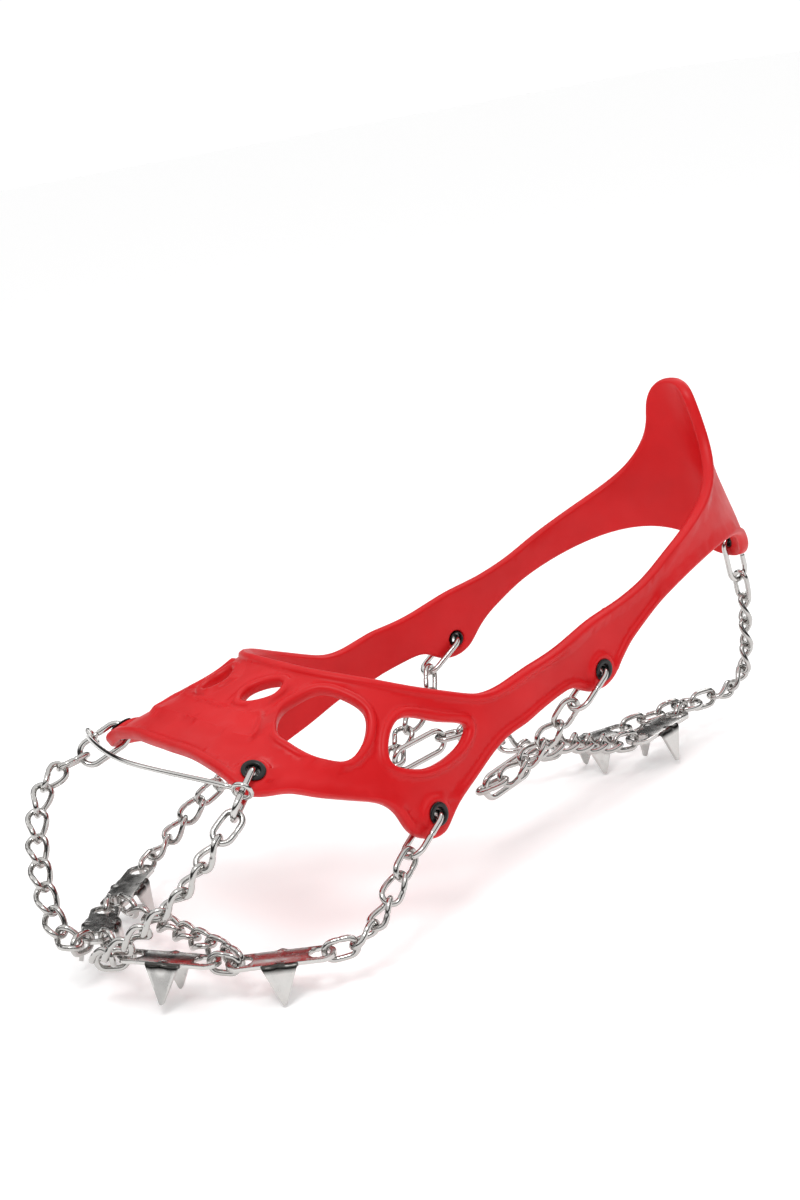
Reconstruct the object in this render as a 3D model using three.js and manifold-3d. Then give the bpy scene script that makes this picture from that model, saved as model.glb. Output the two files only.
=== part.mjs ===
// Ice cleats for a boot: an elastomer harness, its eyelets and joining rings, a toe wire, and
// six steel plates with two spikes each, carried under the sole by runs of chain.
// Millimetres, +Z up, toe towards -Y, wearer's left towards +X. The origin lies in the tread
// plane of the boot, midway between ball and heel, and the plates carry the boot at z = 0.
import * as THREE from 'three';
import { mergeVertices } from 'three/addons/utils/BufferGeometryUtils.js';
import Module from 'manifold-3d';

const wasm = await Module();
wasm.setup();

// ---- driving dimensions ------------------------------------------------------------------
const HARNESS_THICKNESS = 3.8;
const HARNESS_EDGE = 15; // longest facet edge on the harness
const STRAP_CUT_Y = 14; // the side strap stretches here, between ball and arch eyelets
const PIECE_GAP = 0.3;

const EYELET_HOLE = 3.4;
const GROMMET = { bore: 2.1, barrel: 2.5, flange: 3.7, flangeThickness: 0.4, clearance: 0.3 };

const RING = { endRadius: 3.9, length: 17, wire: 1.0, lift: 0.55, offset: 0.2 }; // wire centreline
const LINK = { endRadius: 2.5, pitch: 8.7, overlap: 1.7, wire: 1.35, twist: -0.9 };
const WRAP = 2.35; // from the middle of one wire to the middle of the wire that holds it
const EAR_WRAP = 2.75; // from the middle of a wire to the middle of the ear's rim

const PLATE = { thickness: 1.4, halfWidth: 6, halfLength: 7.5, ear: 11.5, earRadius: 4.9,
  hole: 3.25 };
const SPIKE = { width: 11, drop: 12.5, tip: 0.8, splay: 9 };

const BAIL = { wire: 0.75, eye: 2.75, aboveRingEnd: 6.8, middle: [0, -103.5, 57] };
const JOINING_RING = { radius: 5, wire: 1.0, centre: [-2, 124.7, 0.2] };

const RUBBER = { color: 0xd8262b, roughness: 0.55, metalness: 0 };
const GROMMET_BLACK = { color: 0x17181a, roughness: 0.4, metalness: 0 };
const STEEL = { color: 0xc9c7c2, roughness: 0.22, metalness: 1 };

// ---- the form that the harness is stretched over ------------------------------------------
// The upper of a boot as half its width, its height, and how square its section is, all along
// the length, and the line of its heel over the height. Between stations the values run smoothly.
const HALF_WIDTH = [[-150, 6], [-140, 28], [-120, 45], [-90, 54], [-60, 56], [-30, 53.5],
  [0, 47], [30, 42], [60, 39.5], [200, 38]];
const TOP = [[-150, 16], [-135, 40], [-110, 53], [-90, 60], [-70, 66], [-50, 72],
  [-20, 87], [0, 106], [15, 146], [25, 246], [200, 386]];
const SQUARENESS = [[-150, 2.6], [-92, 3.0], [-70, 2.5], [-50, 2.2], [0, 2.2], [30, 3], [200, 3]];
const HEEL_LINE = [[36, 157], [56, 155.6], [66, 152.6], [76, 148.5], [86, 144.5], [101, 140.5],
  [117, 136], [131, 132]];
const UPPER_BASE = 8; // height at which the section is widest
const HEEL_START = 40; // from here back the plan narrows to the heel line
const CENTRE = new THREE.Vector3(0, 20, 16); // every point of the upper is seen from here

function smooth(table, at) {
  const last = table.length - 1;
  if (at <= table[0][0]) return table[0][1];
  if (at >= table[last][0]) return table[last][1];
  let i = 0;
  while (table[i + 1][0] < at) i++;
  const slope = (k) => {
    const before = table[Math.max(k - 1, 0)];
    const after = table[Math.min(k + 1, last)];
    return (after[1] - before[1]) / (after[0] - before[0]);
  };
  const step = table[i + 1][0] - table[i][0];
  const t = (at - table[i][0]) / step;
  return (2 * t ** 3 - 3 * t ** 2 + 1) * table[i][1] + (t ** 3 - 2 * t ** 2 + t) * slope(i) * step
    + (3 * t ** 2 - 2 * t ** 3) * table[i + 1][1] + (t ** 3 - t ** 2) * slope(i + 1) * step;
}

function upperHalfWidth(y, z) {
  const top = smooth(TOP, y);
  if (z >= top) return 0;
  let half = smooth(HALF_WIDTH, y);
  if (z > UPPER_BASE) {
    const n = smooth(SQUARENESS, y);
    half *= (1 - ((z - UPPER_BASE) / (top - UPPER_BASE)) ** n) ** (1 / n);
  }
  if (y > HEEL_START) {
    const along = (y - HEEL_START) / (smooth(HEEL_LINE, z) - HEEL_START);
    if (along >= 1) return 0;
    half *= Math.sqrt(1 - along ** 2.6) * (1 - 0.0012 * Math.max(z - 46, 0));
  }
  return half;
}

// The upper's skin is met by a ray from CENTRE. facing is -1 for the toe half and 1 for the heel
// half; turn is the angle away from that end, rise the angle above the horizontal.
function skinPoint(facing, turn, rise) {
  const ray = new THREE.Vector3(Math.sin(turn) * Math.cos(rise),
    facing * Math.cos(turn) * Math.cos(rise), Math.sin(rise));
  let inner = 5;
  let outer = 220;
  for (let k = 0; k < 30; k++) {
    const middle = (inner + outer) / 2;
    const p = ray.clone().multiplyScalar(middle).add(CENTRE);
    if (Math.abs(p.x) < upperHalfWidth(p.y, p.z)) inner = middle;
    else outer = middle;
  }
  return ray.multiplyScalar(inner).add(CENTRE);
}

function skinNormal(facing, turn, rise) {
  const h = 0.02;
  const across = skinPoint(facing, turn + h, rise).sub(skinPoint(facing, turn - h, rise));
  const up = skinPoint(facing, turn, rise + h).sub(skinPoint(facing, turn, rise - h));
  return across.cross(up).multiplyScalar(-facing).normalize();
}

function anglesOf(facing, [x, y, z]) {
  const along = facing * (y - CENTRE.y);
  return [Math.atan2(x, along), Math.atan2(z - CENTRE.z, Math.hypot(x, along))];
}

// ---- harness outlines: left half, each point near the skin ---------------------------------
const mirrored = (points) => points.map(([x, y, z]) => [-x, y, z]).reverse();

const FRONT_LOWER = [[18, -90.5, 59], [32, -90, 56], [39, -90, 53], [43, -87.5, 50.5],
  [44.5, -82, 49], [46, -76, 48], [48, -69, 44.5], [50.5, -58, 39.5], [52, -49.5, 35.5],
  [52.5, -45, 31.5], [53.5, -41, 23], [54, -36, 19], [53.5, -30, 18.5], [52.5, -25.5, 22],
  [51, -21, 25], [48.5, -11, 29.5], [46, -1, 34], [45, 6, 36.5],
  [44, STRAP_CUT_Y - PIECE_GAP / 2, 37.5]];
const FRONT_UPPER = [[43, STRAP_CUT_Y - PIECE_GAP / 2, 53.5], [43, 6, 52], [43, -1, 52.3],
  [42, -10, 56], [39, -22, 61], [33, -34, 67], [18, -45, 71], [6, -48.3, 73]];
const HEEL_LOWER = [[44, STRAP_CUT_Y + PIECE_GAP / 2, 37.5], [43, 22, 39.5], [42, 32, 41.5],
  [41, 38, 41.5], [41, 44, 38.3], [40.5, 51, 37.3], [40, 57, 39.3], [39.5, 61.5, 44], [39, 66, 48],
  [38.5, 72, 51.5], [37.5, 82, 56.5], [36, 91, 59.5], [33, 104, 62.5], [28, 120, 64.5],
  [22, 133, 63.5], [16, 144, 60], [12, 150, 55], [7, 153.5, 50.7]];
const HEEL_UPPER = [[43, STRAP_CUT_Y + PIECE_GAP / 2, 53.5], [42.5, 22, 54.5], [41, 34, 56],
  [39, 50, 60], [38, 65, 62.5], [37, 78, 66], [35, 90, 71], [32, 104, 76.5], [27, 117, 82],
  [22, 126, 88], [18, 131, 95], [15, 134, 103], [13.5, 134, 110], [12, 133, 115],
  [7.5, 134, 119]];

const INSTEP_SLOT = [[9, -66, 67], [7, -61.5, 68.5], [9.5, -56.5, 69], [15, -54, 69],
  [17, -58.5, 67], [14, -65, 66.5]];
const FRONT_WINDOW = [[31, -68.5, 61], [24.5, -61, 65], [26, -50, 67], [33, -44, 64],
  [39, -42, 59.5], [43, -46, 53], [44, -53, 49], [42, -61, 52], [36.5, -68, 58]];
const SIDE_WINDOW = [[43.5, -36, 53.5], [42.5, -30.5, 55], [44.5, -19, 50], [45.5, -9.5, 45.5],
  [47, -13, 41.5], [49, -24, 39], [49.5, -33, 40], [47.5, -40.5, 44.5]];

// hang is where the ring's lower end makes for, and flush how nearly it lies along the skin.
const EYELETS = {
  toe: { point: [38.5, -83, 54.5], facing: -1, hang: [46.5, -96, 48.5], flush: 1 },
  ball: { point: [53.5, -32, 25.5], facing: -1, hang: [54, -45, 17], flush: 1 },
  arch: { point: [40, 51.5, 43.3], facing: 1, hang: [36, 38.5, 35], flush: 1 },
  heel: { point: [0, 158, 57], facing: 1, hang: [0, 156, 40], flush: 0.3 },
};

// ---- solids --------------------------------------------------------------------------------
function solidOf(geometry) {
  geometry.deleteAttribute('normal');
  geometry.deleteAttribute('uv');
  const merged = mergeVertices(geometry, 1e-4);
  const solid = new wasm.Manifold(new wasm.Mesh({
    numProp: 3,
    vertProperties: merged.attributes.position.array,
    triVerts: new Uint32Array(merged.index.array),
  }));
  return solid;
}

function geometryOf(solid) {
  const mesh = solid.getMesh();
  const geometry = new THREE.BufferGeometry();
  geometry.setAttribute('position', new THREE.BufferAttribute(mesh.vertProperties, 3));
  geometry.setIndex(new THREE.BufferAttribute(mesh.triVerts, 1));
  return geometry;
}

// One solid out of several, with any pocket sealed between them filled.
function joined(geometries) {
  const whole = geometries.map(solidOf).reduce((a, b) => a.add(b));
  return geometryOf(whole.decompose().find((body) => body.volume() > 0));
}
const V = (a) => new THREE.Vector3(...a);

// A matrix whose X runs along `along` and whose Z lies as near as it can to `side`.
function frameAt(origin, along, side) {
  const x = along.clone().normalize();
  const y = new THREE.Vector3().crossVectors(side, x).normalize();
  const z = new THREE.Vector3().crossVectors(x, y);
  return new THREE.Matrix4().makeBasis(x, y, z).setPosition(origin);
}

const cleats = new THREE.Group();

function addPart(name, geometry, look, matrix = new THREE.Matrix4()) {
  geometry.deleteAttribute('uv');
  geometry.computeVertexNormals();
  const mesh = new THREE.Mesh(geometry, new THREE.MeshStandardMaterial(look));
  mesh.name = name;
  matrix.decompose(mesh.position, mesh.quaternion, mesh.scale);
  cleats.add(mesh);
}

// ---- harness -------------------------------------------------------------------------------
// Splits every edge that is longer than `longest` once laid on the skin, until none is left.
// A vertex is [turn, rise, layer]; layer is 0 on the inner face and 1 on the outer face.
function refine(vertices, triangles, lay, longest) {
  const placed = vertices.map(lay);
  for (let pass = 0; pass < 8; pass++) {
    const middles = new Map();
    const middle = (a, b) => {
      const key = a < b ? `${a}_${b}` : `${b}_${a}`;
      if (!middles.has(key)) {
        let made = null;
        if (placed[a].distanceTo(placed[b]) > longest) {
          made = vertices.push(vertices[a].map((v, i) => (v + vertices[b][i]) / 2)) - 1;
          placed.push(lay(vertices[made]));
        }
        middles.set(key, made);
      }
      return middles.get(key);
    };
    const next = [];
    for (const [a, b, c] of triangles) {
      const mids = [middle(a, b), middle(b, c), middle(c, a)];
      next.push(...splitTriangle([a, b, c], mids, placed));
    }
    if (next.length === triangles.length) break;
    triangles = next;
  }
  return { placed, triangles };
}

// One triangle with up to three split edges; mids[i] lies between corners i and i + 1.
function splitTriangle(corners, mids, placed) {
  const split = mids.filter((m) => m !== null).length;
  if (split === 0) return [corners];
  const start = split === 3 ? 0
    : split === 1 ? mids.findIndex((m) => m !== null)
      : (mids.findIndex((m) => m === null) + 1) % 3;
  const [a, b, c] = [0, 1, 2].map((k) => corners[(start + k) % 3]);
  const [ab, bc, ca] = [0, 1, 2].map((k) => mids[(start + k) % 3]);
  if (split === 1) return [[a, ab, c], [ab, b, c]];
  if (split === 3) return [[a, ab, ca], [ab, b, bc], [ca, bc, c], [ab, bc, ca]];
  const cutFromA = placed[a].distanceTo(placed[bc]) < placed[ab].distanceTo(placed[c]);
  return cutFromA ? [[ab, b, bc], [a, ab, bc], [a, bc, c]] : [[ab, b, bc], [a, ab, c], [ab, bc, c]];
}

function eyeletFrame({ point, facing }, side) {
  const [turn, rise] = anglesOf(facing, [point[0] * side, point[1], point[2]]);
  return { skin: skinPoint(facing, turn, rise), normal: skinNormal(facing, turn, rise) };
}

function eyeletHole(eyelet, side) {
  const { skin, normal } = eyeletFrame(eyelet, side);
  const across = new THREE.Vector3(0, 0, 1).cross(normal).normalize();
  const up = normal.clone().cross(across);
  const corners = 10;
  return Array.from({ length: corners }, (_, k) => {
    const angle = (2 * Math.PI * k) / corners;
    return skin.clone().addScaledVector(across, EYELET_HOLE * Math.cos(angle))
      .addScaledVector(up, EYELET_HOLE * Math.sin(angle)).toArray();
  });
}

function harnessPiece(facing, outline, windows, holes) {
  const flat = (points) => points.map((p) => new THREE.Vector2(...anglesOf(facing, p)));
  const closedCurve = (points, perPoint) => {
    const path = new THREE.CatmullRomCurve3(flat(points).map((p) => new THREE.Vector3(p.x, p.y, 0)),
      true, 'centripetal');
    return path.getPoints(points.length * perPoint).slice(0, -1)
      .map((p) => new THREE.Vector2(p.x, p.y));
  };
  const shape = new THREE.Shape(flat(outline));
  for (const window of windows) shape.holes.push(new THREE.Path(closedCurve(window, 2)));
  for (const hole of holes) shape.holes.push(new THREE.Path(flat(hole)));
  const slab = new THREE.ExtrudeGeometry(shape, { depth: 1, bevelEnabled: false });
  slab.deleteAttribute('normal');
  slab.deleteAttribute('uv');
  const merged = mergeVertices(slab, 1e-6);
  const { position } = merged.attributes;
  const vertices = Array.from({ length: position.count },
    (_, i) => [position.getX(i), position.getY(i), position.getZ(i)]);
  const corners = Array.from(merged.index.array);
  const triangles = [];
  for (let i = 0; i < corners.length; i += 3) {
    const [a, b, c] = corners.slice(i, i + 3);
    triangles.push(facing < 0 ? [a, b, c] : [a, c, b]);
  }
  const lay = ([turn, rise, layer]) => skinPoint(facing, turn, rise)
    .addScaledVector(skinNormal(facing, turn, rise), (layer - 1) * HARNESS_THICKNESS);
  const fine = refine(vertices, triangles, lay, HARNESS_EDGE);
  const geometry = new THREE.BufferGeometry().setFromPoints(fine.placed);
  geometry.setIndex(fine.triangles.flat());
  return geometry;
}

const bothSides = (points) => [points, mirrored(points)];
const frontLeft = [...FRONT_LOWER, ...FRONT_UPPER];
const heelLeft = [...HEEL_UPPER, [0, 135, 119.8], ...mirrored(HEEL_UPPER)];

addPart('harness_front', harnessPiece(-1,
  [[0, -91, 59.5], ...frontLeft, [0, -48.8, 73], ...mirrored(frontLeft)],
  [INSTEP_SLOT, FRONT_WINDOW, SIDE_WINDOW].flatMap(bothSides),
  [EYELETS.toe, EYELETS.ball].flatMap((e) => [eyeletHole(e, 1), eyeletHole(e, -1)])), RUBBER);

addPart('harness_heel', harnessPiece(1,
  [...heelLeft, ...mirrored(HEEL_LOWER).reverse(), [0, 155, 49.3], ...[...HEEL_LOWER].reverse()],
  [],
  [eyeletHole(EYELETS.arch, 1), eyeletHole(EYELETS.arch, -1), eyeletHole(EYELETS.heel, 1)]),
RUBBER);

// ---- eyelets and joining rings -------------------------------------------------------------
function grommet() {
  const { bore, barrel, flange, flangeThickness, clearance } = GROMMET;
  const foot = -HARNESS_THICKNESS - 0.2;
  const profile = [[bore, foot], [barrel, foot], [barrel, clearance], [flange, clearance],
    [flange, clearance + flangeThickness], [bore, clearance + flangeThickness], [bore, foot]];
  return new THREE.LatheGeometry(profile.map((p) => new THREE.Vector2(...p)), 10);
}

// A ring of wire in the XZ plane, stretched along X: two half turns and two straights.
// twist turns one end against the other about X.
function ovalRing(endRadius, straight, wire, sides, segments, twist = 0) {
  const middle = endRadius / Math.cos(Math.PI / segments); // so that the flats stand at endRadius
  const profile = Array.from({ length: sides + 1 }, (_, k) => {
    const angle = (2 * Math.PI * (k + 0.5)) / sides;
    return new THREE.Vector2(middle + wire * Math.cos(angle), wire * Math.sin(angle));
  });
  const geometry = new THREE.LatheGeometry(profile, segments, Math.PI / segments);
  const { position } = geometry.attributes;
  const half = endRadius + straight / 2;
  for (let i = 0; i < position.count; i++) {
    const x = position.getX(i) + (Math.sign(position.getX(i)) * straight) / 2;
    const turned = new THREE.Vector3(x, position.getY(i), position.getZ(i))
      .applyAxisAngle(new THREE.Vector3(1, 0, 0), (twist / 2) * Math.sin((x / half) * Math.PI / 2));
    position.setXYZ(i, turned.x, turned.y, turned.z);
  }
  return geometry;
}

// Where a ring hangs from its eyelet: its ends, and the directions that order its plane.
function hangRing(eyelet, side) {
  const { skin, normal } = eyeletFrame(eyelet, side);
  const middle = skin.clone().addScaledVector(normal, -HARNESS_THICKNESS / 2);
  const hang = V([eyelet.hang[0] * side, eyelet.hang[1], eyelet.hang[2]]).sub(middle);
  hang.addScaledVector(normal, -eyelet.flush * hang.dot(normal)).normalize();
  const out = normal.clone().addScaledVector(hang, -normal.dot(hang)).normalize();
  const top = middle.clone().addScaledVector(normal, RING.offset).addScaledVector(hang, -RING.lift);
  const centre = top.clone().addScaledVector(hang, RING.length / 2);
  // The middle of the wire on the lower end, `turn` away from straight down towards the outside.
  const lowest = (turn) => top.clone()
    .addScaledVector(hang, RING.length - RING.endRadius * (1 - Math.cos(turn)))
    .addScaledVector(out, RING.endRadius * Math.sin(turn));
  return { skin, normal, hang, out, across: hang.clone().cross(out), centre, lowest };
}

const rings = {};
for (const [place, eyelet] of Object.entries(EYELETS)) {
  const sides = place === 'heel' ? { '': 1 } : { _left: 1, _right: -1 };
  for (const [suffix, side] of Object.entries(sides)) {
    const ring = hangRing(eyelet, side);
    rings[`${place}${suffix}`] = ring;
    addPart(`grommet_${place}${suffix}`, grommet(), GROMMET_BLACK,
      frameAt(ring.skin, ring.across, ring.across.clone().cross(ring.normal)));
    addPart(`ring_${place}${suffix}`,
      ovalRing(RING.endRadius, RING.length - 2 * RING.endRadius, RING.wire, 6, 10), STEEL,
      frameAt(ring.centre, ring.hang, ring.out));
  }
}

// ---- toe wire: an arch of wire over the toe, with an eye round each toe ring ----------------
function toeWire() {
  const eyes = [rings.toe_left, rings.toe_right].map((ring) => {
    const centre = ring.lowest(0).addScaledVector(ring.hang, -BAIL.aboveRingEnd)
      .addScaledVector(ring.out, RING.endRadius);
    const forward = ring.across.clone().multiplyScalar(-Math.sign(ring.across.y));
    return { centre, forward, axis: ring.hang };
  });
  const [left, right] = eyes.map((e) => e.centre.clone().addScaledVector(e.forward, BAIL.eye));
  const lead = (end, eye) => end.clone().addScaledVector(eye.forward, 3);
  const path = new THREE.CatmullRomCurve3([left, lead(left, eyes[0]), V(BAIL.middle),
    lead(right, eyes[1]), right], false, 'centripetal');
  const section = new THREE.Shape();
  section.absarc(0, 0, BAIL.wire, 0, 2 * Math.PI);
  const wire = new THREE.ExtrudeGeometry(section, { extrudePath: path, steps: 16, curveSegments: 4 });
  const loops = eyes.map((eye) => ovalRing(BAIL.eye, 0, BAIL.wire, 6, 10)
    .applyMatrix4(frameAt(eye.centre, eye.forward, eye.axis.clone().cross(eye.forward))));
  return joined([wire, ...loops]);
}

addPart('toe_wire', toeWire(), STEEL);

// ---- spike plates --------------------------------------------------------------------------
// X runs from ear to ear, Y across, and the top face lies at z = 0.
function spikePlate() {
  const { thickness, halfWidth, halfLength, ear, earRadius, hole } = PLATE;
  const outline = new THREE.Shape();
  const waist = Math.asin(earRadius / (ear + 6));
  outline.absarc(ear, 0, earRadius, waist - Math.PI / 2, Math.PI / 2 - waist);
  outline.lineTo(halfLength, halfWidth);
  outline.lineTo(-halfLength, halfWidth);
  outline.absarc(-ear, 0, earRadius, Math.PI / 2 + waist, 1.5 * Math.PI - waist);
  outline.lineTo(-halfLength, -halfWidth);
  outline.lineTo(halfLength, -halfWidth);
  for (const end of [-1, 1]) {
    const eye = new THREE.Path();
    eye.absarc(end * ear, 0, hole, 0, 2 * Math.PI);
    outline.holes.push(eye);
  }
  const base = new THREE.ExtrudeGeometry(outline,
    { depth: thickness, bevelEnabled: false, curveSegments: 6 });
  base.translate(0, 0, -thickness);
  const splay = THREE.MathUtils.degToRad(SPIKE.splay);
  const spikes = [-1, 1].map((across) => {
    const blade = new THREE.Shape([[-SPIKE.width / 2, 0], [-SPIKE.tip / 2, -SPIKE.drop],
      [SPIKE.tip / 2, -SPIKE.drop], [SPIKE.width / 2, 0]].map((p) => new THREE.Vector2(...p)));
    const geometry = new THREE.ExtrudeGeometry(blade, { depth: thickness, bevelEnabled: false });
    geometry.rotateX(Math.PI / 2);
    geometry.translate(0, across > 0 ? thickness : 0, -0.05 - thickness * Math.sin(splay));
    geometry.rotateX(across * splay);
    geometry.translate(0, across * (halfWidth - thickness), 0);
    return geometry;
  });
  return joined([base, ...spikes]);
}

// turn swings the rear ear about Z, tilt lifts the toe end, both in degrees.
const PLATES = {
  front_left: { centre: [20.6, -112, 2.4], turn: 35, tilt: 8 },
  front_right: { centre: [-20.6, -112, 2.4], turn: 145, tilt: 8 },
  middle_left: { centre: [45, -89, 0], turn: 50, tilt: 0 },
  middle_right: { centre: [-45, -89, 0], turn: 130, tilt: 0 },
  heel_left: { centre: [7, 101, 1.5], turn: 102, tilt: 0 },
  heel_right: { centre: [-9.5, 84, 0], turn: 78, tilt: 0 },
};

const plates = {};
for (const [name, { centre, turn, tilt }] of Object.entries(PLATES)) {
  const pitch = new THREE.Matrix4().makeRotationX(-THREE.MathUtils.degToRad(tilt));
  const matrix = new THREE.Matrix4().makeTranslation(...centre).multiply(pitch)
    .multiply(new THREE.Matrix4().makeRotationZ(THREE.MathUtils.degToRad(turn)));
  const up = new THREE.Vector3(0, 0, 1).transformDirection(matrix);
  // The middle of the hole in the front (-1) or the rear (1) ear.
  const ear = (end) => new THREE.Vector3(end * PLATE.ear, 0, -PLATE.thickness / 2)
    .applyMatrix4(matrix);
  plates[name] = { up, ear };
  addPart(`spike_plate_${name}`, spikePlate(), STEEL, matrix);
}

// ---- where runs of chain end ---------------------------------------------------------------
// An end is the middle of its last wire, the direction that wire's link is wide in, and the
// first point the run makes for.
function hookOver(wireMiddle, wireDirection, towards) {
  const leaving = V(towards).sub(wireMiddle);
  leaving.addScaledVector(wireDirection, -leaving.dot(wireDirection)).normalize();
  return {
    at: wireMiddle.clone().addScaledVector(leaving, -WRAP),
    width: wireDirection.clone().cross(leaving).normalize(),
  };
}

function inRing(ring, towards) {
  const aim = V(towards).sub(ring.lowest(0));
  const most = Math.PI / 3;
  const turn = Math.atan2(aim.dot(ring.out), aim.dot(ring.hang));
  const held = Math.min(Math.max(turn, -most), most);
  const wire = ring.out.clone().multiplyScalar(Math.cos(held))
    .addScaledVector(ring.hang, -Math.sin(held));
  return hookOver(ring.lowest(held), wire, towards);
}

function inEar(plate, end, towards) {
  const hole = plate.ear(end);
  const aim = V(towards).sub(hole);
  aim.addScaledVector(plate.up, -aim.dot(plate.up)).normalize();
  const rim = (PLATE.hole + PLATE.earRadius) / 2;
  return { at: hole.addScaledVector(aim, rim - EAR_WRAP), width: plate.up };
}

// One of two links that share an ear; shift is where its wire stands in the hole.
function inSharedEar(plate, end, [x, y]) {
  return { at: plate.ear(end).add(V([x, y, 0])), width: plate.up };
}

// ---- chain ---------------------------------------------------------------------------------
// One run of links as one solid: neighbours stand a quarter turn apart where they meet, and the
// links between the first and the last are twisted along their length, as much as brings the
// last one to the width its end asks for.
function chainRun(start, points, finish, links = 0) {
  const path = new THREE.CatmullRomCurve3([start.at, ...points.map(V), finish.at], false,
    'centripetal');
  const arc = path.getLength();
  const count = links || Math.max(1, Math.round((arc - LINK.overlap) / LINK.pitch));
  const pitch = (arc - LINK.overlap) / count;
  const spans = Array.from({ length: count }, (_, i) => {
    const from = path.getPointAt((i * pitch) / arc);
    const to = path.getPointAt(Math.min((i * pitch + pitch + LINK.overlap) / arc, 1));
    return { from, to, along: to.clone().sub(from).normalize() };
  });
  const flatten = (v, along) => v.addScaledVector(along, -v.dot(along)).normalize();
  let width = flatten(start.width.clone(), spans[0].along);
  for (const span of spans) {
    width = flatten(width.clone(), span.along);
    span.width = width;
  }
  const last = spans[count - 1];
  const wanted = flatten(finish.width.clone(), last.along);
  const turned = Math.atan2(last.width.clone().cross(wanted).dot(last.along),
    last.width.dot(wanted));
  const quarter = Math.PI / 2;
  const twisted = (i) => count < 3 || (i > 0 && i < count - 1);
  const twistedCount = count < 3 ? count : count - 2;
  const idealTwist = count < 3 ? 0 : LINK.twist * quarter;
  const missing = turned - (count - 1) * quarter;
  const halfTurns = Math.round((idealTwist * twistedCount - missing) / Math.PI);
  const fullTwist = (missing + halfTurns * Math.PI) / twistedCount;
  let roll = 0;
  return joined(spans.map(({ from, to, along, width: across }, i) => {
    const twist = twisted(i) ? fullTwist : 0;
    const side = across.clone().applyAxisAngle(along, roll + twist / 2);
    roll += quarter + twist;
    const straight = from.distanceTo(to) - 2 * LINK.endRadius;
    return ovalRing(LINK.endRadius, straight, LINK.wire, 4, 8, twist)
      .applyMatrix4(frameAt(from.clone().add(to).multiplyScalar(0.5), along, side));
  }));
}

const sideName = (side) => (side > 0 ? 'left' : 'right');
const onSide = (side, points) => points.map(([x, y, z]) => [x * side, y, z]);

// Toe ring to front plate. The shoe narrows more on the inside of the foot than on the outside.
const TOE_RUNS = {
  left: [[45, -99, 44], [44.5, -104.5, 38.5], [43, -109.5, 33.5], [39.5, -114, 27.5],
    [35, -118.5, 22.5], [28.5, -122.5, 17], [20, -126, 10.5], [12.5, -129, 6], [6.5, -128, 4.2]],
  right: [[-46, -102.5, 45.5], [-46, -108, 43], [-45, -112, 39], [-42, -116, 34], [-38, -119.5, 28],
    [-33, -122.5, 23.5], [-27, -125.5, 17.5], [-20, -127.5, 11], [-12.5, -129.5, 6],
    [-6.5, -128, 4.2]],
};
const BALL_RUN = [[56.5, -52, 13], [58.3, -59, 7.3], [59, -66, 2.3], [58, -72, -0.2]];
const ARCH_RUN = [[33.5, 34, 28], [32, 27, 24], [31.2, 20, 20], [29.8, 13.5, 16.3]];
const BRANCHES = {
  left: [[20, 41, 17], [13.5, 64, 8.5], [9.5, 80, 2.5]],
  right: [[-20.5, 41, 14.5], [-16, 52, 6.5], [-13, 62.5, 0.5]],
};
const HEEL_RUN = [[0, 158.5, 36.5], [0, 157.5, 30], [0, 157, 22.5], [0, 156.5, 15], [0, 155, 7],
  [-0.5, 151, 1.5], [-1.2, 144, -0.6]];
const OVAL = { front: [24.2, 8.5, 12.8], rear: [22.5, 29, 15.8] };

for (const side of [1, -1]) {
  const name = sideName(side);
  const front = plates[`front_${name}`];
  const middle = plates[`middle_${name}`];
  const heel = plates[`heel_${name}`];

  const toePoints = TOE_RUNS[name];
  addPart(`chain_toe_${name}`, chainRun(inRing(rings[`toe_${name}`], toePoints[0]), toePoints,
    inSharedEar(front, -1, [0, -1.65])), STEEL);

  addPart(`chain_link_${name}`, chainRun(inEar(front, 1, middle.ear(-1).toArray()), [],
    inSharedEar(middle, -1, [0.4 * side, -1.2])), STEEL);

  const ballPoints = onSide(side, BALL_RUN);
  addPart(`chain_ball_${name}`, chainRun(inRing(rings[`ball_${name}`], ballPoints[0]), ballPoints,
    inEar(middle, 1, ballPoints.at(-1))), STEEL);

  const [ovalFront, ovalRear] = onSide(side, [OVAL.front, OVAL.rear]);
  const archPoints = onSide(side, ARCH_RUN);
  const upright = new THREE.Vector3(0, 0, 1);
  const ovalAlong = V(ovalRear).sub(V(ovalFront));
  addPart(`chain_arch_${name}`, chainRun(inRing(rings[`arch_${name}`], archPoints[0]), archPoints,
    hookOver(V(ovalFront), upright, archPoints.at(-1))), STEEL);
  addPart(`oval_link_${name}`,
    ovalRing(RING.endRadius, ovalAlong.length() - 2 * RING.endRadius, RING.wire, 6, 10), STEEL,
    frameAt(V(ovalFront).addScaledVector(ovalAlong, 0.5), ovalAlong, upright));

  const branchPoints = BRANCHES[name];
  addPart(`chain_instep_${name}`, chainRun(hookOver(V(ovalRear), upright, branchPoints[0]),
    branchPoints, inEar(heel, -1, branchPoints.at(-1))), STEEL);
}

function crossChain(pair, [x, y], links) {
  return chainRun(inSharedEar(plates[`${pair}_left`], -1, [x, y]), [],
    inSharedEar(plates[`${pair}_right`], -1, [-x, y]), links);
}

addPart('chain_cross_front', crossChain('front', [-1.2, 0.85], 3), STEEL);
addPart('chain_cross_middle', crossChain('middle', [-1.2, 0.85], 8), STEEL);

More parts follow.
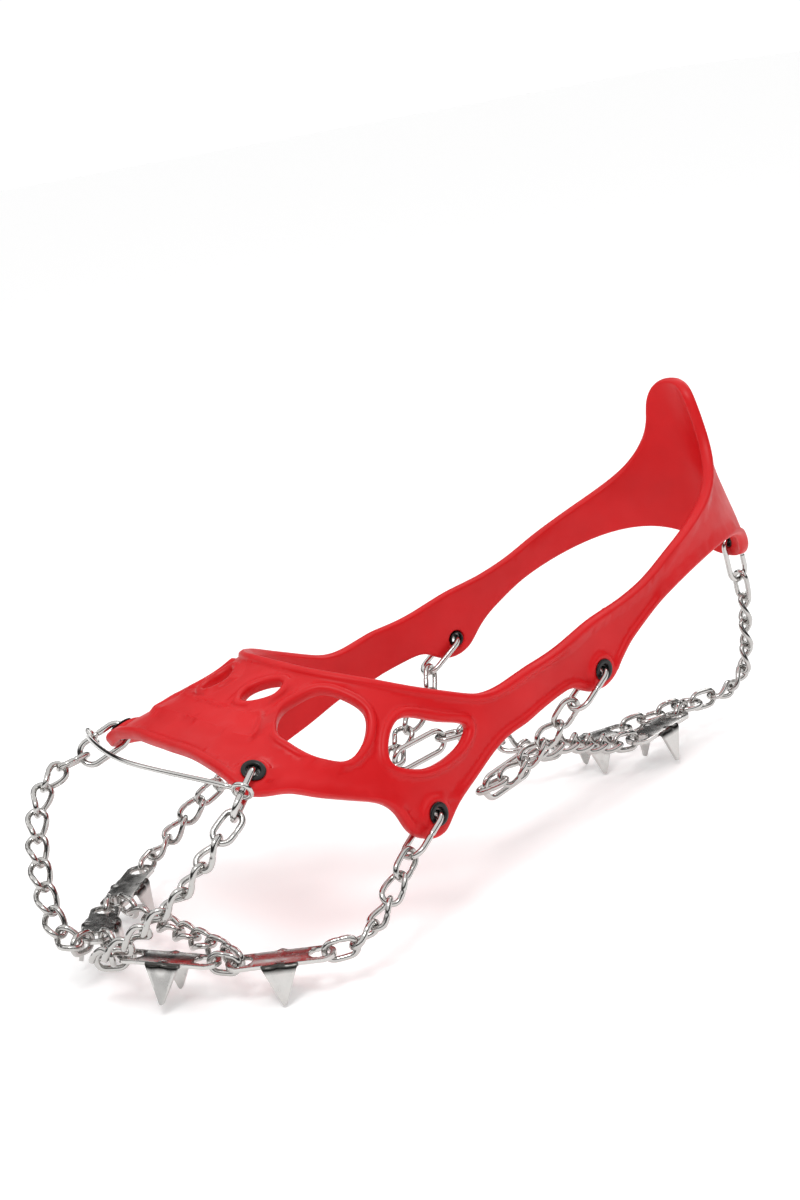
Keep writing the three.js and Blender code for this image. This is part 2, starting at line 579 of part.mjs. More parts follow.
// The heel run and the chains of both heel plates meet in one round ring.
const joiningCentre = V(JOINING_RING.centre);
function inJoiningRing(degrees) {
  const angle = THREE.MathUtils.degToRad(degrees);
  const reach = JOINING_RING.radius - WRAP;
  return {
    at: joiningCentre.clone().add(V([reach * Math.sin(angle), reach * Math.cos(angle), 0])),
    width: new THREE.Vector3(0, 0, 1),
  };
}
addPart('joining_ring', ovalRing(JOINING_RING.radius, 0, JOINING_RING.wire, 6, 14), STEEL,
  frameAt(joiningCentre, new THREE.Vector3(1, 0, 0), new THREE.Vector3(0, 1, 0)));
addPart('chain_heel', chainRun(inRing(rings.heel, HEEL_RUN[0]), HEEL_RUN, inJoiningRing(0)), STEEL);
for (const [name, degrees] of [['left', 140], ['right', 216]]) {
  const start = inJoiningRing(degrees);
  addPart(`chain_heel_${name}`, chainRun(start, [], inEar(plates[`heel_${name}`], 1,
    start.at.toArray())), STEEL);
}

export default cleats;
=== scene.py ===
"""Ice cleats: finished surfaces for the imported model, in metres, in the model's own frame."""
import math

import bmesh
import bpy
import numpy as np
from mathutils import Matrix, Vector
from mathutils.geometry import delaunay_2d_cdt


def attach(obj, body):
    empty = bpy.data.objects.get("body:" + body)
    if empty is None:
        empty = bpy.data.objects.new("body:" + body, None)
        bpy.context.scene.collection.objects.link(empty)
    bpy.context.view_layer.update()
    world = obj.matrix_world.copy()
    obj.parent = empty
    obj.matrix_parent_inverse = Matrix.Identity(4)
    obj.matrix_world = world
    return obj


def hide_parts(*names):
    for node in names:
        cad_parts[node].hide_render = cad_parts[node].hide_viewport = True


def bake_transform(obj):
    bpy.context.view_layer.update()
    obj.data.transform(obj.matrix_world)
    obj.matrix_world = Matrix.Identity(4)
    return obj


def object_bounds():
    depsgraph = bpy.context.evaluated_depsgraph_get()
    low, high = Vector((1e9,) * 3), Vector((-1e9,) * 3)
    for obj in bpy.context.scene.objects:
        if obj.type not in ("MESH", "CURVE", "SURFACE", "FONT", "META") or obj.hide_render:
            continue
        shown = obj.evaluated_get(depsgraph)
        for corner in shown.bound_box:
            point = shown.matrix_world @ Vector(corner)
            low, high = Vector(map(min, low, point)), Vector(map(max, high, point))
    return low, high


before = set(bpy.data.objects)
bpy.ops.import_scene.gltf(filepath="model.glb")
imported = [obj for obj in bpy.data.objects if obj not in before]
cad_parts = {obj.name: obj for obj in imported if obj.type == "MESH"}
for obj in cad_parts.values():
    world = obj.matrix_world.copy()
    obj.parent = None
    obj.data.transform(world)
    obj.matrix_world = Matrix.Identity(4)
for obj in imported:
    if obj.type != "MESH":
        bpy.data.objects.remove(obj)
cad_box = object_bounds()

MM = 0.001

# ---- camera, floor and light --------------------------------------------------------------


def add_camera():
    """The viewpoint of the reference view: low, from the toe end on the wearer's left."""
    azimuth, elevation, roll = 0.96500528, 0.29270538, -0.16007073
    back = Vector((math.sin(azimuth) * math.cos(elevation),
                   -math.cos(azimuth) * math.cos(elevation), math.sin(elevation)))
    level = Vector((math.cos(azimuth), math.sin(azimuth), 0))
    upright = back.cross(level)
    right = level * math.cos(roll) + upright * math.sin(roll)
    up = upright * math.cos(roll) - level * math.sin(roll)
    data = bpy.data.cameras.new("camera")
    data.sensor_fit = "AUTO"
    data.sensor_width = 36
    data.lens = 60.289
    data.shift_x = 0.0007
    data.shift_y = 0.0512
    data.clip_start = 0.02
    data.clip_end = 50
    camera = bpy.data.objects.new("camera", data)
    axes = Matrix((right, up, back)).transposed()
    camera.matrix_world = Matrix.Translation(Vector((0, 0, 0.056)) + back * 0.64999) @ axes.to_4x4()
    bpy.context.collection.objects.link(camera)
    bpy.context.scene.camera = camera


def add_floor(height):
    mesh = bpy.data.meshes.new("floor")
    mesh.from_pydata([(-6, -6, height), (6, -6, height), (6, 6, height), (-6, 6, height)], [],
                     [(0, 1, 2, 3)])
    floor = bpy.data.objects.new("floor", mesh)
    bpy.context.collection.objects.link(floor)
    material = bpy.data.materials.new("floor")
    material.use_nodes = True
    shader = material.node_tree.nodes["Principled BSDF"]
    shader.inputs["Base Color"].default_value = (0.93, 0.93, 0.93, 1)
    shader.inputs["Roughness"].default_value = 0.9
    shader.inputs["Specular IOR Level"].default_value = 0.1
    shader.inputs["Emission Color"].default_value = (1, 1, 1, 1)
    shader.inputs["Emission Strength"].default_value = 0.22
    mesh.materials.append(material)


def add_area(name, place, target, size, watts, colour=(1, 1, 1)):
    data = bpy.data.lights.new(name, "AREA")
    data.shape = "RECTANGLE"
    data.size, data.size_y = size
    data.energy = watts
    data.color = colour
    light = bpy.data.objects.new(name, data)
    light.location = place
    light.rotation_euler = (Vector(target) - Vector(place)).to_track_quat("-Z", "Y").to_euler()
    bpy.context.collection.objects.link(light)


def add_world():
    """Bright above, darker towards the horizon, so that polished wire has something to show."""
    world = bpy.data.worlds.new("studio")
    world.use_nodes = True
    bpy.context.scene.world = world
    nodes, links = world.node_tree.nodes, world.node_tree.links
    background = nodes["Background"]
    place = nodes.new("ShaderNodeTexCoord")
    split = nodes.new("ShaderNodeSeparateXYZ")
    ramp = nodes.new("ShaderNodeValToRGB")
    links.new(place.outputs["Generated"], split.inputs[0])
    links.new(split.outputs["Z"], ramp.inputs[0])
    links.new(ramp.outputs[0], background.inputs["Color"])
    stops = ramp.color_ramp.elements
    stops[0].position, stops[0].color = 0.0, (0.9, 0.9, 0.9, 1)
    stops[1].position, stops[1].color = 1.0, (1.0, 1.0, 1.0, 1)
    for position, value in ((0.09, 0.92), (0.13, 0.03), (0.45, 0.03), (0.52, 0.85)):
        stop = stops.new(position)
        stop.color = (value, value, value, 1)
    background.inputs["Strength"].default_value = 1.15


add_camera()
add_floor(cad_box[0][2] - 0.0002)
add_world()
add_area("key", (0.5, -0.5, 1.1), (0, 0, 0.03), (0.35, 0.35), 5)
add_area("fill", (-0.8, -0.7, 0.6), (0, 0, 0.03), (0.4, 0.6), 0.8)
add_area("rim", (-0.3, 0.9, 0.8), (0, 0.05, 0.05), (0.6, 0.3), 2)
bpy.context.scene.view_settings.view_transform = "Standard"

# ---- materials ----------------------------------------------------------------------------


def new_material(name, colour, roughness, metallic=0.0):
    material = bpy.data.materials.new(name)
    material.use_nodes = True
    shader = material.node_tree.nodes["Principled BSDF"]
    shader.inputs["Base Color"].default_value = (*colour, 1)
    shader.inputs["Roughness"].default_value = roughness
    shader.inputs["Metallic"].default_value = metallic
    return material, shader


def noise(material, scale, detail=3.0):
    nodes, links = material.node_tree.nodes, material.node_tree.links
    place = nodes.new("ShaderNodeTexCoord")
    texture = nodes.new("ShaderNodeTexNoise")
    texture.inputs["Scale"].default_value = scale
    texture.inputs["Detail"].default_value = detail
    links.new(place.outputs["Object"], texture.inputs["Vector"])
    return texture.outputs["Fac"]


def ramp_between(material, factor, low, high, start=0.3, end=0.7):
    nodes, links = material.node_tree.nodes, material.node_tree.links
    ramp = nodes.new("ShaderNodeValToRGB")
    stops = ramp.color_ramp.elements
    stops[0].position, stops[0].color = start, (*low, 1)
    stops[1].position, stops[1].color = end, (*high, 1)
    links.new(factor, ramp.inputs[0])
    return ramp.outputs[0]


def add_bump(material, shader, factor, strength, distance):
    nodes, links = material.node_tree.nodes, material.node_tree.links
    bump = nodes.new("ShaderNodeBump")
    bump.inputs["Strength"].default_value = strength
    bump.inputs["Distance"].default_value = distance
    links.new(factor, bump.inputs["Height"])
    links.new(bump.outputs[0], shader.inputs["Normal"])


def link(material, source, socket):
    material.node_tree.links.new(source, socket)


def elastomer():
    material, shader = new_material("red_elastomer", (0.60, 0.008, 0.012), 0.40)
    mottled = ramp_between(material, noise(material, 45), (0.56, 0.004, 0.006),
                           (0.64, 0.006, 0.009))
    link(material, mottled, shader.inputs["Base Color"])
    sheen = ramp_between(material, noise(material, 160, 5), (0.36,) * 3, (0.50,) * 3)
    link(material, sheen, shader.inputs["Roughness"])
    add_bump(material, shader, noise(material, 1400, 4), 0.10, 0.0002)
    shader.inputs["Specular IOR Level"].default_value = 0.26
    return material


def polished(name, tone, roughness, grain=900):
    material, shader = new_material(name, tone, roughness, 1.0)
    worn = ramp_between(material, noise(material, 220, 4), (roughness * 0.7,) * 3,
                        (roughness * 1.5,) * 3)
    link(material, worn, shader.inputs["Roughness"])
    tinted = ramp_between(material, noise(material, 70), [t * 0.93 for t in tone], tone)
    link(material, tinted, shader.inputs["Base Color"])
    add_bump(material, shader, noise(material, grain, 3), 0.05, 0.0001)
    return material


def enamel():
    material, shader = new_material("black_eyelet", (0.006, 0.006, 0.0065), 0.28, 0.0)
    worn = ramp_between(material, noise(material, 600, 5), (0.22,) * 3, (0.42,) * 3)
    link(material, worn, shader.inputs["Roughness"])
    flecks = ramp_between(material, noise(material, 900, 2), (0.004,) * 3, (0.009,) * 3)
    link(material, flecks, shader.inputs["Base Color"])
    add_bump(material, shader, noise(material, 700), 0.05, 0.0001)
    shader.inputs["Specular IOR Level"].default_value = 0.35
    return material


def pressed_steel():
    """Polished plate with roughness varied at random, and painted shade darkening it across each
    spike's bend.
    """
    material, shader = new_material("pressed_steel", (0.78, 0.77, 0.76), 0.2, 1.0)
    nodes = material.node_tree.nodes
    painted_bend_shade = nodes.new("ShaderNodeAttribute")
    painted_bend_shade.attribute_name = "bend"
    # Painted shade: the base colour goes from polished grey to near black where the bend weight is
    # high.
    tone = ramp_between(material, painted_bend_shade.outputs["Fac"], (0.56, 0.55, 0.535), (0.07, 0.068, 0.064),
                        0.2, 0.8)
    link(material, tone, shader.inputs["Base Color"])
    worn = ramp_between(material, noise(material, 320, 5), (0.14,) * 3, (0.30,) * 3)
    link(material, worn, shader.inputs["Roughness"])
    add_bump(material, shader, noise(material, 260, 3), 0.02, 0.0001)
    return material


RED = elastomer()
CHAIN = polished("polished_chain", (0.50, 0.49, 0.475), 0.13)
WIRE = polished("polished_wire", (0.55, 0.54, 0.525), 0.10)
BLACK = enamel()
PRESSED = pressed_steel()


def add_piece(name, vertices, faces, material, body, replaced):
    """A mesh carried by one body; with no body it is left unattached."""
    mesh = bpy.data.meshes.new(name)
    mesh.from_pydata([tuple(v) for v in vertices], [], faces)
    mesh.materials.append(material)
    mesh.shade_smooth()
    piece = bpy.data.objects.new(name, mesh)
    bpy.context.collection.objects.link(piece)
    if body:
        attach(piece, body)
    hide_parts(*replaced)
    return piece


# ---- the form under the harness, in millimetres -------------------------------------------
HALF_WIDTH = [(-150, 6), (-140, 28), (-120, 45), (-90, 54), (-60, 56), (-30, 53.5), (0, 47),
              (30, 42), (60, 39.5), (200, 38)]
TOP = [(-150, 16), (-135, 40), (-110, 53), (-90, 60), (-70, 66), (-50, 72), (-20, 87), (0, 106),
       (15, 146), (25, 246), (200, 386)]
SQUARENESS = [(-150, 2.6), (-92, 3.0), (-70, 2.5), (-50, 2.2), (0, 2.2), (30, 3), (200, 3)]
HEEL_LINE = [(36, 157), (56, 155.6), (66, 152.6), (76, 148.5), (86, 144.5), (101, 140.5),
             (117, 136), (131, 132)]
UPPER_BASE, HEEL_START = 8, 40
CENTRE = np.array([0.0, 20.0, 16.0])
THICKNESS = 3.8


def smooth(table, at):
    at = np.asarray(at, float)
    xs = np.array([p[0] for p in table], float)
    ys = np.array([p[1] for p in table], float)
    before = np.maximum(np.arange(len(xs)) - 1, 0)
    after = np.minimum(np.arange(len(xs)) + 1, len(xs) - 1)
    slopes = (ys[after] - ys[before]) / (xs[after] - xs[before])
    clamped = np.clip(at, xs[0], xs[-1])
    i = np.clip(np.searchsorted(xs, clamped) - 1, 0, len(xs) - 2)
    step = xs[i + 1] - xs[i]
    t = (clamped - xs[i]) / step
    return ((2 * t**3 - 3 * t**2 + 1) * ys[i] + (t**3 - 2 * t**2 + t) * slopes[i] * step
            + (3 * t**2 - 2 * t**3) * ys[i + 1] + (t**3 - t**2) * slopes[i + 1] * step)


def upper_half_width(y, z):
    top = smooth(TOP, y)
    half = smooth(HALF_WIDTH, y)
    n = smooth(SQUARENESS, y)
    rise = np.clip((z - UPPER_BASE) / (top - UPPER_BASE), 0, 1)
    half = half * (1 - rise**n) ** (1 / n)
    along = np.clip((y - HEEL_START) / (smooth(HEEL_LINE, z) - HEEL_START), 0, 1)
    lean = 0.0012 * np.maximum(z - 46, 0) * np.clip((y - HEEL_START) / 25, 0, 1)
    back = np.sqrt(1 - along**2.6) * (1 - lean)
    half = np.where(y > HEEL_START, half * back, half)
    return np.where(z >= top, 0, half)


def skin(around, rise):
    """The upper's surface; around is 0 at the toe and pi at the heel."""
    around, rise = np.asarray(around, float), np.asarray(rise, float)
    ray = np.stack([np.sin(around) * np.cos(rise), -np.cos(around) * np.cos(rise),
                    np.sin(rise)], -1)
    low = np.full(around.shape, 5.0)
    high = np.full(around.shape, 220.0)
    for _ in range(34):
        middle = (low + high) / 2
        p = ray * middle[..., None] + CENTRE
        within = np.abs(p[..., 0]) < upper_half_width(p[..., 1], p[..., 2])
        low = np.where(within, middle, low)
        high = np.where(within, high, middle)
    return ray * low[..., None] + CENTRE


def skin_normal(around, rise):
    h = 0.02
    across = skin(around + h, rise) - skin(around - h, rise)
    up = skin(around, rise + h) - skin(around, rise - h)
    normal = np.cross(across, up)
    return normal / np.linalg.norm(normal, axis=-1, keepdims=True)


def angles(p):
    x, y = p[0], p[1] - CENTRE[1]
    return math.atan2(x, -y), math.atan2(p[2] - CENTRE[2], math.hypot(x, y))


def unit(v):
    return v / np.linalg.norm(v)


def catmull(points, closed, per_span):
    """A centripetal curve through the points, as evenly stepped spans."""
    pts = [np.asarray(p, float) for p in points]
    n = len(pts)
    out = []
    for i in range(n if closed else n - 1):
        p1, p2 = pts[i], pts[(i + 1) % n]
        p0 = pts[i - 1] if closed or i > 0 else 2 * p1 - p2
        p3 = pts[(i + 2) % n] if closed or i + 2 < n else 2 * p2 - p1
        d0, d1, d2 = (max(np.linalg.norm(b - a), 1e-6) ** 0.5
                      for a, b in ((p0, p1), (p1, p2), (p2, p3)))
        m1 = ((p1 - p0) / d0 - (p2 - p0) / (d0 + d1) + (p2 - p1) / d1) * d1
        m2 = ((p2 - p1) / d1 - (p3 - p1) / (d1 + d2) + (p3 - p2) / d2) * d1
        for t in np.arange(per_span) / per_span:
            out.append(p1 + m1 * t + (-3 * p1 + 3 * p2 - 2 * m1 - m2) * t**2
                       + (2 * p1 - 2 * p2 + m1 + m2) * t**3)
    if not closed:
        out.append(pts[-1])
    return np.array(out)


# ---- harness outlines: the left half, each point near the skin ----------------------------
LOWER = [(0, -91, 59.5), (18, -90.5, 59), (32, -90, 56), (39, -90, 53), (43, -87.5, 50.5),
         (44.5, -82, 49), (46, -76, 48), (48, -69, 44.5), (50.5, -58, 39.5), (52, -49.5, 35.5),
         (52.5, -45, 31.5), (53.5, -41, 23), (54, -36, 19), (53.5, -30, 18.5), (52.5, -25.5, 22),
         (51, -21, 25), (48.5, -11, 29.5), (46, -1, 34), (45, 6, 36.5), (44, 14, 37.5),
         (43, 22, 39.5), (42, 32, 41.5), (41, 38, 41.5), (41, 44, 38.3), (40.5, 51, 37.3),
         (40, 57, 39.3), (39.5, 61.5, 44), (39, 66, 48), (38.5, 72, 51.5), (37.5, 82, 56.5),
         (36, 91, 59.5), (33, 104, 62.5), (28, 120, 64.5), (22, 133, 63.5), (16, 144, 60),
         (12, 150, 55), (7, 153.5, 50.7), (0, 155, 49.3)]
UPPER = [(0, -48.8, 73), (6, -48.3, 73), (18, -45, 71), (33, -34, 67), (39, -22, 61),
         (42, -10, 56), (43, -1, 52.3), (43, 6, 52), (43, 14, 53.5), (42.5, 22, 54.5),
         (41, 34, 56), (39, 50, 60), (38, 65, 62.5), (37, 78, 66), (35, 90, 71),
         (32, 104, 76.5), (27, 117, 82), (22, 126, 88), (18, 131, 95), (15, 134, 103),
         (13.5, 134, 110), (12, 133, 115), (7.5, 134, 119), (0, 135, 119.8)]
INSTEP_SLOT = [(9, -66, 67), (7, -61.5, 68.5), (9.5, -56.5, 69), (15, -54, 69),
               (17, -58.5, 67), (14, -65, 66.5)]
FRONT_WINDOW = [(31, -68.5, 61), (24.5, -61, 65), (26, -50, 67), (33, -44, 64),
                (39, -42, 59.5), (43, -46, 53), (44, -53, 49), (42, -61, 52), (36.5, -68, 58)]
SIDE_WINDOW = [(43.5, -36, 53.5), (42.5, -30.5, 55), (44.5, -19, 50), (45.5, -9.5, 45.5),
               (47, -13, 41.5), (49, -24, 39), (49.5, -33, 40), (47.5, -40.5, 44.5)]
PLAQUE = [(0, -79.5, 63.6), (13, -79, 63), (25, -76.5, 61), (27.5, -74, 60.5), (21.5, -66.5, 64),
          (18, -69.5, 64.5), (9, -71.5, 65.5), (0, -72, 66)]
EYELETS = {
    "toe": ((38.5, -83, 54.5), (46.5, -96, 48.5), 1.0),
    "ball": ((53.5, -32, 25.5), (54, -45, 17), 1.0),
    "arch": ((40, 51.5, 43.3), (36, 38.5, 35), 1.0),
    "heel": ((0, 158, 57), (0, 156, 40), 0.3),
}
SIDES = {"_left": 1, "_right": -1}
SCALE = 90.0  # turns angles into the flat sheet the harness is meshed on
ROUND = 2 * math.pi * SCALE  # the sheet's width, once round the boot
MIRROR = np.array([-1, 1])


def flip(points):
    return [(-x, y, z) for x, y, z in points]


def eased(half, passes):
    """One half of an outline with its small lumps worn down; it mirrors about both its ends."""
    pad = 30
    line = np.vstack([(half[1:pad + 1] * MIRROR)[::-1], half,
                      (half[-pad - 1:-1] * MIRROR + [ROUND, 0])[::-1]])
    for _ in range(passes):
        line[1:-1] = (line[:-2] + 2 * line[1:-1] + line[2:]) / 4
    return line[pad:-pad]


def eyelet_at(place, side):
    (x, y, z), hang_to, flush = EYELETS[place]
    around, rise = angles((x * side, y, z))
    at = skin(around, rise)
    normal = skin_normal(around, rise)
    return at, normal, np.array([hang_to[0] * side, hang_to[1], hang_to[2]]), flush


EYELET_KEYS = [(p, s) for p in ("toe", "ball", "arch") for s in SIDES] + [("heel", "")]


CUT = 2.35 * SCALE  # the sheet's two ends meet here, on the left strap
FIELD = -1.05  # the outer face between the rims, against the skin
RIM_PROFILE = ([0, 0.15, 0.4, 0.9, 1.5, 2.2, 2.7, 3.1],
               [-1.3, -0.72, -0.3, 0, 0.05, -0.02, -0.55, FIELD])
BOSS_PROFILE = ([4.3, 4.9, 5.5, 6.2], [0.05, 0.05, -0.4, FIELD])
PANEL_EDGE_PROFILE = ([0, 0.45, 0.85], [FIELD + 1.0, FIELD + 0.9, FIELD])
PANEL = FIELD + 0.45
EYELET_RADIUS = 3.0
EDGE_ROWS = (0.35, 0.8, 1.5, 2.2, 2.65, 3.1)
PANEL_ROWS = (-0.8, -0.4, 0, 0.4, 0.8)
GRID_STEP = 1.5


def on_sheet(points):
    return [np.array(angles(p)) * SCALE for p in points]


def on_skin(sheet):
    return skin(sheet[:, 0] / SCALE, sheet[:, 1] / SCALE)


def even(line, closed, step=1.1):
    """The line again with points about step mm apart on the skin."""
    line = np.vstack([line, line[:1]]) if closed else np.asarray(line)
    hops = np.linalg.norm(np.diff(on_skin(line), axis=0), axis=1)
    lengths = np.concatenate([[0], np.cumsum(hops)])
    count = max(8, int(round(lengths[-1] / step)))
    marks = np.linspace(0, lengths[-1], count + 1)
    out = np.stack([np.interp(marks, lengths, line[:, k]) for k in (0, 1)], -1)
    return out[:-1] if closed else out


def nearest(points, targets):
    """How far each point is from the nearest target."""
    best = np.full(len(points), 1e9)
    for start in range(0, len(targets), 200):
        block = targets[start:start + 200]
        gaps = np.linalg.norm(points[:, None] - block[None], axis=-1)
        best = np.minimum(best, gaps.min(1))
    return best


def inside(points, polygon):
    x, y = points[:, 0], points[:, 1]
    result = np.zeros(len(points), bool)
    for (x1, y1), (x2, y2) in zip(polygon, np.roll(polygon, -1, 0)):
        crosses = (y1 > y) != (y2 > y)
        if crosses.any():
            result ^= crosses & (x < (x2 - x1) * (y - y1) / ((y2 - y1) or 1e-12) + x1)
    return result


def outside_all(points, loops):
    for loop in loops:
        points = points[~inside(points, loop)]
    return points


def half_outline(points, passes):
    """One side's outline, from the toe at 0 to the heel at half the sheet's width."""
    half = even(catmull(on_sheet(points), False, 10), False)
    half[0, 0], half[-1, 0] = 0, ROUND / 2
    return eased(half, passes)


def mirrored_outline(half):
    return np.vstack([(half * MIRROR)[::-1], half[1:]])


def between_cuts(half):
    """The outline once round, from one end of the sheet to the other."""
    full = mirrored_outline(half)
    twice = np.vstack([full[:-1] - [ROUND, 0], full])
    body = twice[(twice[:, 0] > CUT - ROUND + 0.4) & (twice[:, 0] < CUT - 0.4)]
    height = np.interp(CUT, half[:, 0], half[:, 1])
    return np.vstack([[CUT - ROUND, height], body, [CUT, height]])


def within_sheet(line):
    out = line.copy()
    out[:, 0] = np.where(out[:, 0] > CUT, out[:, 0] - ROUND, out[:, 0])
    return out


def window_loops():
    """Every slot and window, left and right."""
    loops = []
    for window in (INSTEP_SLOT, FRONT_WINDOW, SIDE_WINDOW):
        for points in (window, flip(window)[::-1]):
            loops.append(even(catmull(on_sheet(points), True, 12), True, 0.9))
    return loops


def eyelet_loops():
    """Each eyelet hole on the sheet, and its centre on the skin."""
    loops, centres = [], []
    for place, suffix in EYELET_KEYS:
        at, normal, _, _ = eyelet_at(place, SIDES.get(suffix, 1))
        across = unit(np.cross((0, 0, 1), normal))
        upward = np.cross(normal, across)
        turn = np.linspace(0, 2 * math.pi, 28, endpoint=False)
        ring = at + EYELET_RADIUS * (np.cos(turn)[:, None] * across
                                     + np.sin(turn)[:, None] * upward)
        loop = np.array(on_sheet(ring))
        if place == "heel":
            loop[:, 0] = np.where(loop[:, 0] < 0, loop[:, 0] + ROUND, loop[:, 0])
        loops.append(loop)
        centres.append(at)
    return loops, np.array(centres)


def rows_beside(loop, closed, border, holes, edges):
    """Rows of points that follow a loop on both its sides, kept where no other edge is nearer."""
    tangent = np.roll(loop, -1, 0) - np.roll(loop, 1, 0)
    if not closed:
        tangent[0], tangent[-1] = loop[1] - loop[0], loop[-1] - loop[-2]
    normal = np.stack([-tangent[:, 1], tangent[:, 0]], -1)
    normal /= np.linalg.norm(normal, axis=1, keepdims=True)
    probe = 0.5
    stretch = np.linalg.norm(on_skin(loop + normal * probe) - on_skin(loop), axis=1) / probe
    rows = []
    for offset in EDGE_ROWS:
        for sign in (1, -1):
            row = loop + sign * normal * (offset / stretch)[:, None]
            row = outside_all(row[inside(row, border)], holes)
            gap = nearest(on_skin(row), edges)
            rows.append(row[np.abs(gap - offset) < 0.12])
    return rows


def staggered_grid(border):
    us = np.arange(CUT - ROUND + 0.8, CUT - 0.6, GRID_STEP)
    vs = np.arange(border[:, 1].min(), border[:, 1].max(), GRID_STEP * 0.87)
    return np.array([(u + (GRID_STEP / 2 if k % 2 else 0), v)
                     for k, v in enumerate(vs) for u in us])


def loop_edges(loops):
    """The edges of closed loops whose points are listed one loop after another."""
    edges, start = [], 0
    for loop in loops:
        n = len(loop)
        edges += [(start + i, start + (i + 1) % n) for i in range(n)]
        start += n
    return edges


def triangulate(points, border, holes):
    """The sheet's triangles, all wound one way; points start with the border and the holes."""
    edges = loop_edges([border] + holes)
    result = delaunay_2d_cdt([Vector(p) for p in points], edges, [], 0, 1e-5)
    verts = np.array([tuple(v) for v in result[0]])
    tris = np.array([f for f in result[2]])
    middles = verts[tris].mean(1)
    good = inside(middles, border)
    for loop in holes:
        good &= ~inside(middles, loop)
    tris = tris[good]
    used = np.unique(tris)
    index = np.full(len(verts), -1)
    index[used] = np.arange(len(used))
    verts, tris = verts[used], index[tris]
    a, b, c = (verts[tris[:, k]] for k in range(3))
    area = (b[:, 0] - a[:, 0]) * (c[:, 1] - a[:, 1]) - (b[:, 1] - a[:, 1]) * (c[:, 0] - a[:, 0])
    return verts, np.where((area > 0)[:, None], tris, tris[:, ::-1])


def wall_faces(verts, tris):
    """Quads that join the outer face to the inner one, along every edge but the sheet's ends."""
    n = len(verts)
    sides = [(int(t[i]), int(t[(i + 1) % 3])) for t in tris for i in range(3)]
    directed = set(sides)
    at_end = np.minimum(np.abs(verts[:, 0] - CUT), np.abs(verts[:, 0] - CUT + ROUND)) < 1e-3
    return [(j, i, i + n, j + n) for i, j in sides
            if (j, i) not in directed and not (at_end[i] and at_end[j])]


def build_harness():
    half_lower, half_upper = half_outline(LOWER, 6), half_outline(UPPER, 24)
    windows = window_loops()
    eyes, eye_centres = eyelet_loops()
    panel = even(catmull(on_sheet(PLAQUE + flip(PLAQUE[1:-1])[::-1]), True, 8), True, 0.9)
    outlines = [mirrored_outline(half_lower), mirrored_outline(half_upper)]
    rim_points = on_skin(np.vstack(outlines + windows))
    eye_points = np.vstack([on_skin(loop) for loop in eyes])
    panel_points = on_skin(panel)
    edges = np.vstack([rim_points, eye_points])

    low_line, high_line = between_cuts(half_lower), between_cuts(half_upper)
    heights = np.linspace(low_line[-1, 1], high_line[-1, 1], 12)[1:-1]
    right_end = np.stack([np.full(10, CUT), heights], -1)
    left_end = right_end - [ROUND, 0]
    border = np.vstack([low_line, right_end, high_line[::-1], left_end[::-1]])
    holes = [within_sheet(loop) for loop in windows + eyes]

    rows = []
    for loop in (low_line, high_line):
        rows += rows_beside(loop, False, border, holes, edges)
    for loop in holes:
        rows += rows_beside(loop, True, border, holes, edges)
    outward = panel - panel.mean(0)
    outward /= np.linalg.norm(outward, axis=1, keepdims=True)
    rows += [panel + outward * offset for offset in PANEL_ROWS]
    grid = staggered_grid(border)
    grid = outside_all(grid[inside(grid, border)], holes)
    grid = grid[nearest(on_skin(grid), edges) > 3.5]
    grid = grid[nearest(on_skin(grid), panel_points) > 1.3]
    verts, tris = triangulate(np.vstack([border] + holes + rows + [grid]), border, holes)

    spots = on_skin(verts)
    normals = skin_normal(verts[:, 0] / SCALE, verts[:, 1] / SCALE)
    rim, eye_rim = nearest(spots, rim_points), nearest(spots, eye_points)
    edge = np.minimum(rim, eye_rim)
    boss = np.interp(nearest(spots, eye_centres), *BOSS_PROFILE)
    boss = np.minimum(boss, np.interp(eye_rim, [0, 0.4], [-0.5, 0.05]))
    raised = np.where(inside(verts, panel), PANEL, FIELD)
    raised = np.maximum(raised, np.interp(nearest(spots, panel_points), *PANEL_EDGE_PROFILE))
    outer = np.maximum(np.maximum(np.interp(rim, *RIM_PROFILE), boss), raised)
    outer = np.minimum(outer, np.interp(edge, [0, 0.35, 0.8], [-0.8, -0.2, 0.02]))
    inner = -THICKNESS + np.interp(edge, [0, 0.5], [0.5, 0])
    top = spots + normals * outer[:, None]
    bottom = spots + normals * inner[:, None]
    n = len(verts)
    faces = [tuple(int(k) for k in t) for t in tris]
    faces += [tuple(int(k) + n for k in t[::-1]) for t in tris]
    return np.vstack([top, bottom]) * MM, faces + wall_faces(verts, tris)


def face_outwards(piece, merge_within=0.0):
    """Turns every face outwards, once points closer than merge_within are made one."""
    shape = bmesh.new()
    shape.from_mesh(piece.data)
    if merge_within:
        bmesh.ops.remove_doubles(shape, verts=shape.verts, dist=merge_within)
    bmesh.ops.recalc_face_normals(shape, faces=shape.faces)
    shape.to_mesh(piece.data)
    shape.free()
    piece.data.shade_smooth()


def add_harness():
    vertices, faces = build_harness()
    piece = add_piece("harness", vertices, faces, RED, None,
                      ("harness_front", "harness_heel"))
    face_outwards(piece, 0.00004)
    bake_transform(piece)


